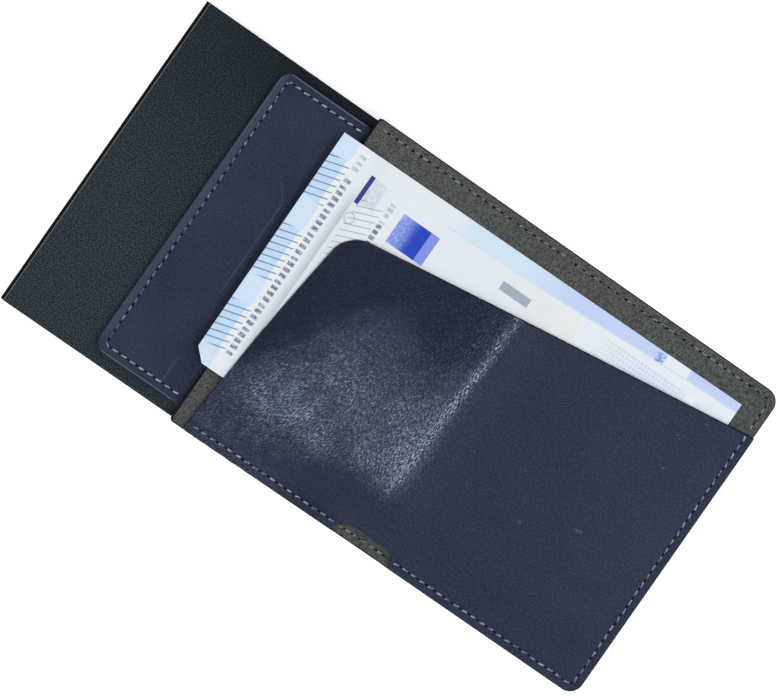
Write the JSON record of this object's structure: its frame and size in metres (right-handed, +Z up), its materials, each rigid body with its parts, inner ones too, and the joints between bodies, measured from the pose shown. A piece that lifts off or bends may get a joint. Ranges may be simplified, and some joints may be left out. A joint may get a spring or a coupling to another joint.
{
  "type": "trifold wallet",
  "caption": "Trifold wallet: a slim aluminium card case with a leather patch, and a hinged leather banknote section that wraps round it. Shown open, with notes.",
  "frame": {"origin": "under the middle of the open wallet, on the surface it lies on", "axes": "+X from the card case towards the outer flap's end, +Y towards the card mouth, +Z up"},
  "size_m": [0.189, 0.098, 0.0125],
  "materials": {
    "anodised_aluminium": "bead blasted, blue-black anodised",
    "navy_leather": "smooth waxed navy leather",
    "suede_liner": "grey suede microfibre",
    "thread": "grey-blue waxed thread",
    "note_paper": "cotton note paper, pale blue print",
    "black_plastic": "moulded, matt",
    "steel": "plain steel",
    "magnet": "nickel plated",
    "felt": "black felt",
    "adhesive": "transfer tape"
  },
  "bodies": {
    "case": {"case_shell": "anodised_aluminium", "end_cap": "black_plastic", "guide_rail_left": "black_plastic", "guide_rail_right": "black_plastic", "lever_pivot_pin": "steel", "card_brake_pads": "felt", "magnet_keeper_plate": "steel", "patch_adhesive": "adhesive", "patch_leather": "navy_leather", "patch_thread": "thread"},
    "eject_lever": {"eject_lever": "black_plastic"},
    "fold_spine": {"leather_spine": "navy_leather"},
    "fold_lap": {"leather_lap": "navy_leather"},
    "middle_panel": {"outer_leather_middle": "navy_leather", "liner_middle": "suede_liner", "pocket_front_middle": "navy_leather", "large_note_middle": "note_paper", "small_note_middle": "note_paper", "seam_thread_middle": "thread", "large_note_tip": "note_paper"},
    "side_strip": {"outer_leather_side": "navy_leather", "liner_side": "suede_liner", "pocket_front_side": "navy_leather", "large_note_side": "note_paper", "small_note_side": "note_paper", "seam_thread_side": "thread"},
    "outer_flap": {"outer_leather_flap": "navy_leather", "liner_flap": "suede_liner", "pocket_front_flap": "navy_leather", "large_note_flap": "note_paper", "small_note_flap": "note_paper", "seam_thread_flap": "thread", "closure_magnets": "magnet"}
  },
  "joints": [
    {"name": "case_fold", "type": "hinge", "parent": "case", "child": "middle_panel", "pos_m": [-0.03945, 0, 0.01115], "axis": [0, -1, 0], "range_deg": [0, 188.7], "deforming": ["large_note_tip"]},
    {"name": "spine_turn", "type": "hinge", "parent": "case", "child": "fold_spine", "pos_m": [-0.03945, 0, 0.01115], "axis": [0, -1, 0], "range_deg": [0, 94.35]},
    {"name": "lap_turn", "type": "hinge", "parent": "middle_panel", "child": "fold_lap", "pos_m": [-0.03945, 0, 0.01115], "axis": [0, 1, 0], "range_deg": [0, 94.35]},
    {"name": "first_bend", "type": "hinge", "parent": "middle_panel", "child": "side_strip", "pos_m": [0.01779, 0, 0.00239], "axis": [0, -1, 0], "range_deg": [0, 85.65]},
    {"name": "second_bend", "type": "hinge", "parent": "side_strip", "child": "outer_flap", "pos_m": [0.03125, 0, 0.00137], "axis": [0, -1, 0], "range_deg": [0, 85.65]},
    {"name": "eject", "type": "hinge", "parent": "case", "child": "eject_lever", "pos_m": [-0.03485, -0.0407, 0.004], "axis": [0, 0, -1], "range_deg": [0, 25]}
  ],
  "couplings": [
    {"joint": "spine_turn", "follows": "case_fold", "ratio": 0.5},
    {"joint": "lap_turn", "follows": "case_fold", "ratio": 0.5},
    {"joint": "second_bend", "follows": "first_bend", "ratio": 1}
  ]
}
